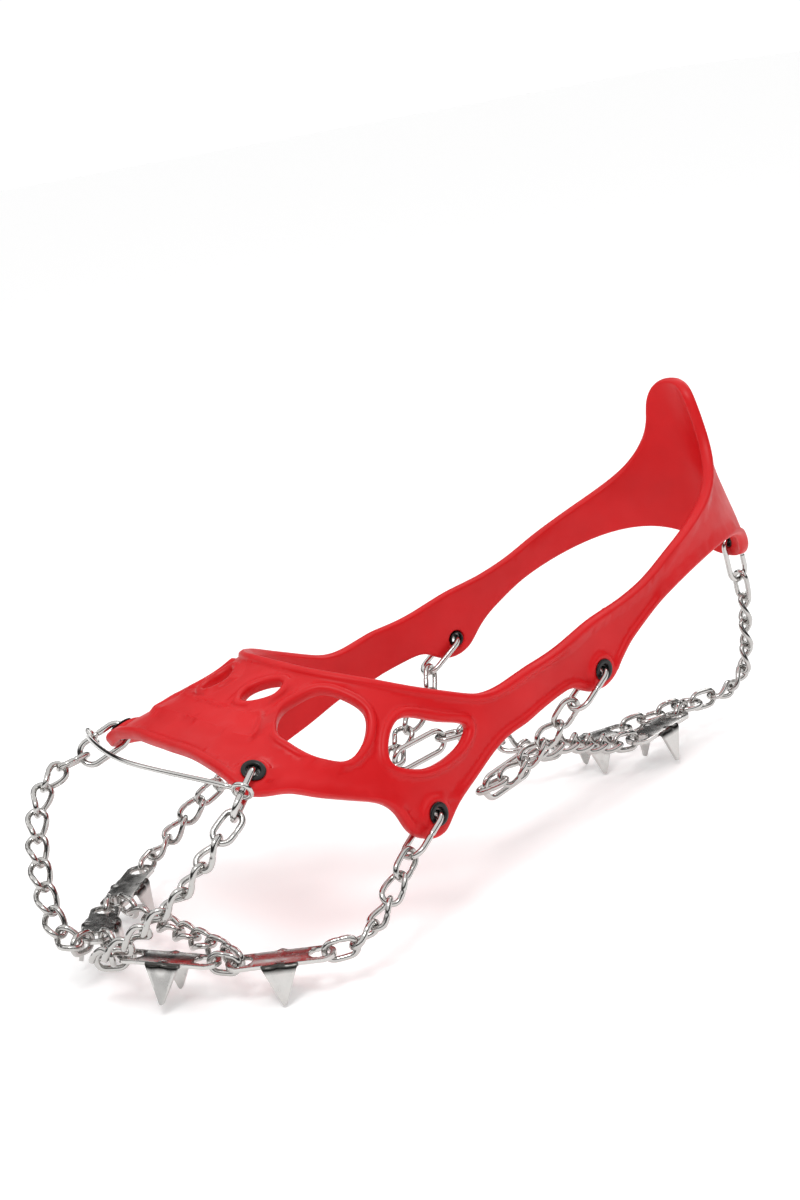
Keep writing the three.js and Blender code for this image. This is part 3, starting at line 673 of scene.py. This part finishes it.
# ---- swept wire ---------------------------------------------------------------------------
def tube(path, radius, closed, sides=12, radii=None):
    """A round wire along the path, in the path's own units."""
    path = np.asarray(path, float)
    n = len(path)
    if closed:
        tangents = np.roll(path, -1, 0) - np.roll(path, 1, 0)
    else:
        tangents = np.gradient(path, axis=0)
    tangents /= np.linalg.norm(tangents, axis=1, keepdims=True)
    side = unit(np.cross(tangents[0], (0.31, 0.27, 0.91)))
    frames = []
    for t in tangents:
        side = unit(side - t * side.dot(t))
        frames.append((side, np.cross(t, side)))
    twist = 0.0
    if closed:
        last = unit(side - tangents[0] * side.dot(tangents[0]))
        first, second = frames[0]
        twist = math.atan2(last.dot(second), last.dot(first))
    rings = []
    for k, (a, b) in enumerate(frames):
        turn = np.linspace(0, 2 * math.pi, sides, endpoint=False) - twist * k / n
        r = radius if radii is None else radii[k]
        rings.append(path[k] + r * (np.cos(turn)[:, None] * a + np.sin(turn)[:, None] * b))
    vertices = np.vstack(rings)
    faces = []
    for k in range(n if closed else n - 1):
        m = (k + 1) % n
        for s in range(sides):
            e = (s + 1) % sides
            faces.append((k * sides + s, k * sides + e, m * sides + e, m * sides + s))
    if not closed:
        faces.append(tuple(range(sides))[::-1])
        faces.append(tuple((n - 1) * sides + s for s in range(sides)))
    return vertices, faces


def merge(parts):
    vertices, faces, base = [], [], 0
    for v, f in parts:
        vertices.append(v)
        faces += [tuple(i + base for i in face) for face in f]
        base += len(v)
    return np.vstack(vertices), faces


def oval_path(end_radius, straight, twist=0.0, around=12, along=8, bulge=0.0):
    """The centreline of an oval ring in the XZ plane, long along X, twisted about X."""
    half = end_radius + straight / 2
    arc = np.linspace(-math.pi / 2, math.pi / 2, around + 1)
    right = np.stack([straight / 2 + end_radius * np.cos(arc), end_radius * np.sin(arc)], -1)
    xs = np.linspace(straight / 2, -straight / 2, along + 1)[1:-1]
    top = np.stack([xs, np.full(len(xs), end_radius)], -1)
    left = -right
    bottom = -top
    flat = np.vstack([right, top, left, bottom])
    flat[:, 1] *= 1 + bulge * (1 - (flat[:, 0] / half) ** 2)
    turn = (twist / 2) * np.sin(np.clip(flat[:, 0] / half, -1, 1) * math.pi / 2)
    return np.stack([flat[:, 0], -flat[:, 1] * np.sin(turn), flat[:, 1] * np.cos(turn)], -1)


def frame_at(origin, along, side):
    x = unit(along)
    y = unit(np.cross(side, x))
    z = np.cross(x, y)
    return lambda p: origin + p[:, :1] * x + p[:, 1:2] * y + p[:, 2:3] * z


RING_END, RING_LENGTH, RING_WIRE, RING_LIFT, RING_OFFSET = 3.9, 17, 1.0, 0.55, 0.2


def hang_ring(place, side):
    at, normal, target, flush = eyelet_at(place, side)
    middle = at - normal * THICKNESS / 2
    hang = target - middle
    hang = unit(hang - normal * flush * hang.dot(normal))
    out = unit(normal - hang * normal.dot(hang))
    top = middle + normal * RING_OFFSET - hang * RING_LIFT
    return {"skin": at, "normal": normal, "hang": hang, "out": out, "top": top,
            "across": np.cross(hang, out), "centre": top + hang * RING_LENGTH / 2}


def lowest(ring, turn):
    return (ring["top"] + ring["hang"] * (RING_LENGTH - RING_END * (1 - math.cos(turn)))
            + ring["out"] * RING_END * math.sin(turn))


def seamed(path, at, radius, width=0.35, depth=0.3):
    """Radii for a wire whose two ends meet at one point of the path, with a thin seam."""
    gap = np.linalg.norm(path - path[at], axis=1)
    return radius - depth * np.exp(-(gap / width) ** 2)


def add_ring(name, ring, body):
    path = oval_path(RING_END, RING_LENGTH - 2 * RING_END, 0, 20, 26)
    seam = int(np.argmin(np.abs(path[:, 0]) + np.where(path[:, 2] > 0, 0, 50)))
    v, f = tube(path, RING_WIRE, True, 16, seamed(path, seam, RING_WIRE))
    v = frame_at(ring["centre"], ring["hang"], ring["out"])(v)
    add_piece(name + "_wire", v * MM, f, WIRE, body, (name,))


def lathe(profile, place, count=40):
    """A profile of (radius, height) turned about the normal of place."""
    at, x, y, z = place
    turn = np.linspace(0, 2 * math.pi, count, endpoint=False)
    vertices, faces = [], []
    for r, h in profile:
        ring = at + np.outer(np.cos(turn) * r, x) + np.outer(np.sin(turn) * r, z) + y * h
        vertices.append(ring)
    n = len(profile)
    for k in range(n):
        m = (k + 1) % n
        for s in range(count):
            e = (s + 1) % count
            faces.append((k * count + s, k * count + e, m * count + e, m * count + s))
    return np.vstack(vertices), faces


def add_grommet(name, ring, body):
    profile = [(2.1, -3.9), (2.5, -3.9), (2.5, -3.6), (2.5, 0.05), (3.4, 0.08), (3.62, 0.18),
               (3.7, 0.34), (3.6, 0.52), (3.3, 0.64), (2.8, 0.7), (2.4, 0.64), (2.18, 0.45),
               (2.1, 0.1), (2.1, -1.5)]
    normal = ring["normal"]
    x = unit(ring["across"] - normal * ring["across"].dot(normal))
    v, f = lathe(profile, (ring["skin"], x, normal, np.cross(x, normal)))
    piece = add_piece(name + "_enamel", v * MM, f, BLACK, body, (name,))
    face_outwards(piece)


RINGS = {}
for place_name, suffix_name in EYELET_KEYS:
    RINGS[place_name + suffix_name] = hang_ring(place_name, SIDES.get(suffix_name, 1))

add_harness()
for key, hung in RINGS.items():
    host = "harness_front" if key.startswith(("toe", "ball")) else "harness_heel"
    add_ring("ring_" + key, hung, "ring_" + key)
    add_grommet("grommet_" + key, hung, host)

# ---- toe wire -----------------------------------------------------------------------------
EYE_RADIUS, EYE_WIRE = 2.75, 0.75


def add_toe_wire():
    eyes = []
    for key in ("toe_left", "toe_right"):
        ring = RINGS[key]
        centre = lowest(ring, 0) - ring["hang"] * 6.8 + ring["out"] * RING_END
        forward = -math.copysign(1, ring["across"][1]) * ring["across"]
        eyes.append((centre, forward, ring["hang"]))
    ends = [c + f * EYE_RADIUS for c, f, _ in eyes]
    leads = [e + eye[1] * 3 for e, eye in zip(ends, eyes)]
    path = catmull([ends[0], leads[0], (0, -103.5, 57), leads[1], ends[1]], False, 16)
    parts = [tube(path, EYE_WIRE, False, 12)]
    for centre, forward, axis in eyes:
        turn = np.linspace(0, 2 * math.pi, 40, endpoint=False)
        side = np.cross(axis, forward)
        loop = centre + EYE_RADIUS * (np.cos(turn)[:, None] * forward
                                      + np.sin(turn)[:, None] * side)
        parts.append(tube(loop, EYE_WIRE, True, 12))
    v, f = merge(parts)
    add_piece("toe_wire_bent", v * MM, f, WIRE, "toe_wire", ("toe_wire",))


add_toe_wire()

# ---- spike plates -------------------------------------------------------------------------
PLATE_T, PLATE_HALF_W, PLATE_HALF_L, EAR, EAR_R, EAR_HOLE = 1.4, 6, 7.5, 11.5, 4.9, 3.25
PLATE_CORNER, PLATE_BEVEL = 1.4, 0.22
SPIKE_W, SPIKE_DROP, SPLAY, TIP_HALF_W = 11, 12.5, 9, 0.55
BEND_RADIUS, SPIKE_LEAD = 1.9, 1.2  # the lead is the flat strip before the bend
RIB_HEIGHT, RIB_HALF_W, RIB_REACH = 0.55, 1.1, 1.9
SPIKE_SINK = 0.06  # keeps the lead's faces off the plate's own
PLATES = {
    "front_left": ((20.6, -112, 2.4), 35, 8), "front_right": ((-20.6, -112, 2.4), 145, 8),
    "middle_left": ((45, -89, 0), 50, 0), "middle_right": ((-45, -89, 0), 130, 0),
    "heel_left": ((7, 101, 1.5), 102, 0), "heel_right": ((-9.5, 84, 0), 78, 0),
}


def plate_matrix(name):
    centre, turn, tilt = PLATES[name]
    return (Matrix.Translation(centre) @ Matrix.Rotation(-math.radians(tilt), 4, "X")
            @ Matrix.Rotation(math.radians(turn), 4, "Z"))


def flat_plate():
    """The pressing's flat part, with its two eared holes and softened edges."""
    waist = math.asin(EAR_R / (EAR + 6))
    outline = []
    for end in (1, -1):
        for a in np.linspace(waist - math.pi / 2, math.pi / 2 - waist, 20):
            outline.append((end * (EAR + EAR_R * math.cos(a)), end * EAR_R * math.sin(a)))
        outline += [(end * PLATE_HALF_L, end * (PLATE_HALF_W - PLATE_CORNER)),
                    (-end * PLATE_HALF_L, end * (PLATE_HALF_W - PLATE_CORNER))]
    holes = [[(end * EAR + EAR_HOLE * math.cos(a), EAR_HOLE * math.sin(a))
              for a in np.linspace(0, 2 * math.pi, 28, endpoint=False)] for end in (1, -1)]
    loops = [outline] + holes
    points = [Vector(p) for loop in loops for p in loop]
    result = delaunay_2d_cdt(points, loop_edges(loops), [], 0, 1e-5)
    verts = result[0]
    keep = []
    for f in result[2]:
        m = sum((verts[i] for i in f), Vector((0, 0))) / 3
        if all((m - Vector((end * EAR, 0))).length > EAR_HOLE * 0.98 for end in (1, -1)):
            keep.append(f)
    shape = bmesh.new()
    made = [shape.verts.new((v.x, v.y, 0)) for v in verts]
    for f in keep:
        m = sum((verts[i] for i in f), Vector((0, 0))) / 3
        if inside(np.array([m]), np.array(outline))[0]:
            shape.faces.new([made[i] for i in f])
    bmesh.ops.recalc_face_normals(shape, faces=shape.faces)
    top = list(shape.faces)
    lower = bmesh.ops.extrude_face_region(shape, geom=top)["geom"]
    for v in (g for g in lower if isinstance(g, bmesh.types.BMVert)):
        v.co.z -= PLATE_T
    bmesh.ops.recalc_face_normals(shape, faces=shape.faces)
    sharp = [e for e in shape.edges if len(e.link_faces) == 2
             and e.calc_face_angle(0) > math.radians(50)]
    bmesh.ops.bevel(shape, geom=sharp, offset=PLATE_BEVEL, segments=2, affect="EDGES",
                    profile=0.5)
    mesh = bpy.data.meshes.new("flat")
    shape.to_mesh(mesh)
    shape.free()
    v = np.array([tuple(p.co) for p in mesh.vertices])
    f = [tuple(p.vertices) for p in mesh.polygons]
    bpy.data.meshes.remove(mesh)
    return v, f, np.zeros(len(v))


def spike(across):
    """One spike: the plate's edge turned down through a bend, tapering to a blunt tip."""
    radius, lead = BEND_RADIUS, SPIKE_LEAD
    angle = math.radians(90 - SPLAY)
    bend = radius * angle
    flat_to = PLATE_HALF_W - PLATE_T - 0.55
    straight = SPIKE_DROP - radius * math.sin(angle) - 0.1
    length = lead + bend + straight / math.cos(math.radians(SPLAY))
    rows, cols = 34, 14
    sheets = {0: [], 1: []}
    marks = []
    for i in range(rows + 1):
        s = length * i / rows
        if s < lead:
            y, z, a = flat_to - lead + s, 0.0, 0.0
        elif s < lead + bend:
            a = (s - lead) / radius
            y, z = flat_to + radius * math.sin(a), -radius * (1 - math.cos(a))
        else:
            a = angle
            rest = s - lead - bend
            y = flat_to + radius * math.sin(a) + rest * math.cos(a)
            z = -radius * (1 - math.cos(a)) - rest * math.sin(a)
        t = max(0.0, (s - lead - bend * 0.45) / (length - lead - bend * 0.45))
        width = SPIKE_W / 2 * (1 - t) + TIP_HALF_W * t
        width *= 1 - 0.4 * max(0.0, (t - 0.96) / 0.04)  # rounds the tip
        for j in range(cols + 1):
            x = width * (2 * j / cols - 1)
            rib = (RIB_HEIGHT * math.exp(-(x / RIB_HALF_W) ** 2)
                   * math.exp(-((s - lead - bend * 0.55) / RIB_REACH) ** 2))
            groove = 0.16 * max(0.0, abs(2 * j / cols - 1) - 0.86) / 0.14
            sunk = SPIKE_SINK * min(1.0, max(0.0, (lead + 0.6 - s) / 0.6))
            for layer, depth in ((0, rib - groove - sunk),
                                 (1, -PLATE_T + rib * 0.6 + groove + sunk)):
                sheets[layer].append((x, across * (y + depth * math.sin(a)),
                                      z + depth * math.cos(a)))
            # How much painted shade this row takes, most across the bend.
            marks.append(math.exp(-((s - lead - bend * 0.62) / 1.75) ** 2))
    n = len(sheets[0])
    v = np.array(sheets[0] + sheets[1])
    f = []
    w = cols + 1
    for i in range(rows):
        for j in range(cols):
            a, b, c, d = i * w + j, i * w + j + 1, (i + 1) * w + j + 1, (i + 1) * w + j
            f += [(a, b, c, d), (d + n, c + n, b + n, a + n)]
    rim = (list(range(w)) + [i * w + cols for i in range(1, rows + 1)]
           + [rows * w + j for j in range(cols - 1, -1, -1)]
           + [i * w for i in range(rows - 1, 0, -1)])
    for k, p in enumerate(rim):
        q = rim[(k + 1) % len(rim)]
        f.append((q, p, p + n, q + n))
    if across < 0:
        f = [face[::-1] for face in f]
    return v, f, np.array(marks + marks)


def add_plate(name):
    parts = [flat_plate(), spike(1), spike(-1)]
    v, f = merge([(p[0], p[1]) for p in parts])
    # Painted shade weights for every point: none on the flat part, most across each spike's bend.
    marks = np.concatenate([p[2] for p in parts])
    matrix = plate_matrix(name)
    placed = [tuple(matrix @ Vector(p) * MM) for p in v]
    node = "spike_plate_" + name
    piece = add_piece(node + "_pressing", placed, f, PRESSED, node, (node,))
    layer = piece.data.attributes.new("bend", "FLOAT", "POINT")
    layer.data.foreach_set("value", marks.astype(np.float32))
    face_outwards(piece)
    piece.data.set_sharp_from_angle(angle=math.radians(25))


for key in PLATES:
    add_plate(key)

# ---- chain --------------------------------------------------------------------------------
LINK_END, LINK_PITCH, LINK_OVERLAP, LINK_WIRE, LINK_TWIST = 2.5, 8.7, 1.7, 0.95, -0.9
WRAP, EAR_WRAP = 2.35, 2.75
UP = np.array([0.0, 0.0, 1.0])


def ear(name, end):
    return np.array(plate_matrix(name) @ Vector((end * EAR, 0, -PLATE_T / 2)))


def plate_up(name):
    return np.array(plate_matrix(name).to_3x3() @ Vector((0, 0, 1)))


def hook_over(wire_middle, wire_direction, towards):
    leaving = np.asarray(towards, float) - wire_middle
    leaving = unit(leaving - wire_direction * leaving.dot(wire_direction))
    return wire_middle - leaving * WRAP, unit(np.cross(wire_direction, leaving))


def in_ring(ring, towards):
    aim = np.asarray(towards, float) - lowest(ring, 0)
    turn = min(max(math.atan2(aim.dot(ring["out"]), aim.dot(ring["hang"])), -math.pi / 3),
               math.pi / 3)
    wire = ring["out"] * math.cos(turn) - ring["hang"] * math.sin(turn)
    return hook_over(lowest(ring, turn), wire, towards)


def in_ear(name, end, towards):
    hole, up = ear(name, end), plate_up(name)
    aim = np.asarray(towards, float) - hole
    aim = unit(aim - up * aim.dot(up))
    return hole + aim * ((EAR_HOLE + EAR_R) / 2 - EAR_WRAP), up


def in_shared_ear(name, end, shift):
    return ear(name, end) + np.array([shift[0], shift[1], 0.0]), plate_up(name)


def run_spans(start, points, finish, links):
    """Where each link of a run begins and ends; neighbours overlap by LINK_OVERLAP."""
    knots = catmull([start] + [np.asarray(p, float) for p in points] + [finish], False, 60)
    lengths = np.concatenate([[0], np.cumsum(np.linalg.norm(np.diff(knots, axis=0), axis=1))])
    arc = lengths[-1]
    count = links or max(1, round((arc - LINK_OVERLAP) / LINK_PITCH))
    pitch = (arc - LINK_OVERLAP) / count

    def at(s):
        return np.array([np.interp(s, lengths, knots[:, k]) for k in range(3)])

    return [(at(i * pitch), at(min(i * pitch + pitch + LINK_OVERLAP, arc)))
            for i in range(count)]


def rotate(v, axis, angle):
    return (v * math.cos(angle) + np.cross(axis, v) * math.sin(angle)
            + axis * axis.dot(v) * (1 - math.cos(angle)))


def flatten(v, along):
    """The unit direction nearest v that is square to along."""
    return unit(v - along * v.dot(along))


def add_run(node, start, points, finish, links=0):
    """A run of links; start and finish are each a place and the end link's width there."""
    (start_at, start_width), (finish_at, finish_width) = start, finish
    spans = run_spans(start_at, points, finish_at, links)
    count = len(spans)
    alongs = [unit(b - a) for a, b in spans]
    width = flatten(start_width, alongs[0])
    widths = []
    for along in alongs:
        width = flatten(width, along)
        widths.append(width)
    wanted = flatten(finish_width, alongs[-1])
    turned = math.atan2(np.cross(widths[-1], wanted).dot(alongs[-1]), widths[-1].dot(wanted))
    # Each link lies a quarter turn from the last. What is missing is twist, which the links
    # between the two end ones share, each near the curb twist of LINK_TWIST.
    quarter = math.pi / 2
    twisted_count = count if count < 3 else count - 2
    ideal = 0 if count < 3 else LINK_TWIST * quarter
    missing = turned - (count - 1) * quarter
    full = (missing + math.floor((ideal * twisted_count - missing) / math.pi + 0.5) * math.pi)
    full /= twisted_count
    roll = 0.0
    parts = []
    for i, ((a, b), along, across) in enumerate(zip(spans, alongs, widths)):
        twist = full if count < 3 or 0 < i < count - 1 else 0.0
        side = rotate(across, along, roll + twist / 2)
        roll += quarter + twist
        path = oval_path(LINK_END, np.linalg.norm(b - a) - 2 * LINK_END, twist, 10, 12, 0.17)
        seam = int(np.argmin(np.abs(path[:, 0]) + np.where(path[:, 2] > 0, 0, 50)))
        v, f = tube(path, LINK_WIRE, True, 12, seamed(path, seam, LINK_WIRE, 0.4, 0.16))
        parts.append((frame_at((a + b) / 2, along, side)(v), f))
    v, f = merge(parts)
    add_piece(node + "_links", v * MM, f, CHAIN, node, (node,))


TOE_RUNS = {
    "left": [(45, -99, 44), (44.5, -104.5, 38.5), (43, -109.5, 33.5), (39.5, -114, 27.5),
             (35, -118.5, 22.5), (28.5, -122.5, 17), (20, -126, 10.5), (12.5, -129, 6),
             (6.5, -128, 4.2)],
    "right": [(-46, -102.5, 45.5), (-46, -108, 43), (-45, -112, 39), (-42, -116, 34),
              (-38, -119.5, 28), (-33, -122.5, 23.5), (-27, -125.5, 17.5), (-20, -127.5, 11),
              (-12.5, -129.5, 6), (-6.5, -128, 4.2)],
}
BALL_RUN = [(56.5, -52, 13), (58.3, -59, 7.3), (59, -66, 2.3), (58, -72, -0.2)]
ARCH_RUN = [(33.5, 34, 28), (32, 27, 24), (31.2, 20, 20), (29.8, 13.5, 16.3)]
BRANCHES = {
    "left": [(20, 41, 17), (13.5, 64, 8.5), (9.5, 80, 2.5)],
    "right": [(-20.5, 41, 14.5), (-16, 52, 6.5), (-13, 62.5, 0.5)],
}
HEEL_RUN = [(0, 158.5, 36.5), (0, 157.5, 30), (0, 157, 22.5), (0, 156.5, 15), (0, 155, 7),
            (-0.5, 151, 1.5), (-1.2, 144, -0.6)]
OVAL_FRONT, OVAL_REAR = (24.2, 8.5, 12.8), (22.5, 29, 15.8)
JOIN_CENTRE, JOIN_RADIUS = np.array([-2, 124.7, 0.2]), 5.0


def join_end(degrees):
    a = math.radians(degrees)
    reach = JOIN_RADIUS - WRAP
    return JOIN_CENTRE + np.array([reach * math.sin(a), reach * math.cos(a), 0]), UP


def on_side(points, sign):
    return points if sign > 0 else flip(points)


for name, sign in (("left", 1), ("right", -1)):
    points = TOE_RUNS[name]
    add_run("chain_toe_" + name, in_ring(RINGS["toe_" + name], points[0]), points,
            in_shared_ear("front_" + name, -1, (0, -1.65)))
    add_run("chain_link_" + name, in_ear("front_" + name, 1, ear("middle_" + name, -1)), [],
            in_shared_ear("middle_" + name, -1, (0.4 * sign, -1.2)))
    points = on_side(BALL_RUN, sign)
    add_run("chain_ball_" + name, in_ring(RINGS["ball_" + name], points[0]), points,
            in_ear("middle_" + name, 1, points[-1]))
    front, rear = (np.array(p) for p in on_side([OVAL_FRONT, OVAL_REAR], sign))
    points = on_side(ARCH_RUN, sign)
    add_run("chain_arch_" + name, in_ring(RINGS["arch_" + name], points[0]), points,
            hook_over(front, UP, points[-1]))
    reach = np.linalg.norm(rear - front)
    oval = tube(oval_path(RING_END, reach - 2 * RING_END, 0, 20, 26), 1.0, True, 16)
    placed = frame_at((front + rear) / 2, rear - front, UP)(oval[0])
    add_piece("oval_link_%s_wire" % name, placed * MM, oval[1], WIRE, "oval_link_" + name,
              ("oval_link_" + name,))
    points = BRANCHES[name]
    add_run("chain_instep_" + name, hook_over(rear, UP, points[0]), points,
            in_ear("heel_" + name, -1, points[-1]))

for pair, shift, links in (("front", (-1.2, 0.85), 3), ("middle", (-1.2, 0.85), 8)):
    add_run("chain_cross_" + pair, in_shared_ear(pair + "_left", -1, shift), [],
            in_shared_ear(pair + "_right", -1, (-shift[0], shift[1])), links)
add_run("chain_heel", in_ring(RINGS["heel"], HEEL_RUN[0]), HEEL_RUN, join_end(0))
for name, degrees in (("left", 140), ("right", 216)):
    begin = join_end(degrees)
    add_run("chain_heel_" + name, begin, [], in_ear("heel_" + name, 1, begin[0]))
turns = np.linspace(0, 2 * math.pi, 48, endpoint=False)
loop_path = JOIN_CENTRE + JOIN_RADIUS * np.stack([np.cos(turns), np.sin(turns), turns * 0], -1)
loop_v, loop_f = tube(loop_path, 1.0, True, 16)
add_piece("joining_ring_wire", loop_v * MM, loop_f, WIRE, "joining_ring",
          ("joining_ring",))
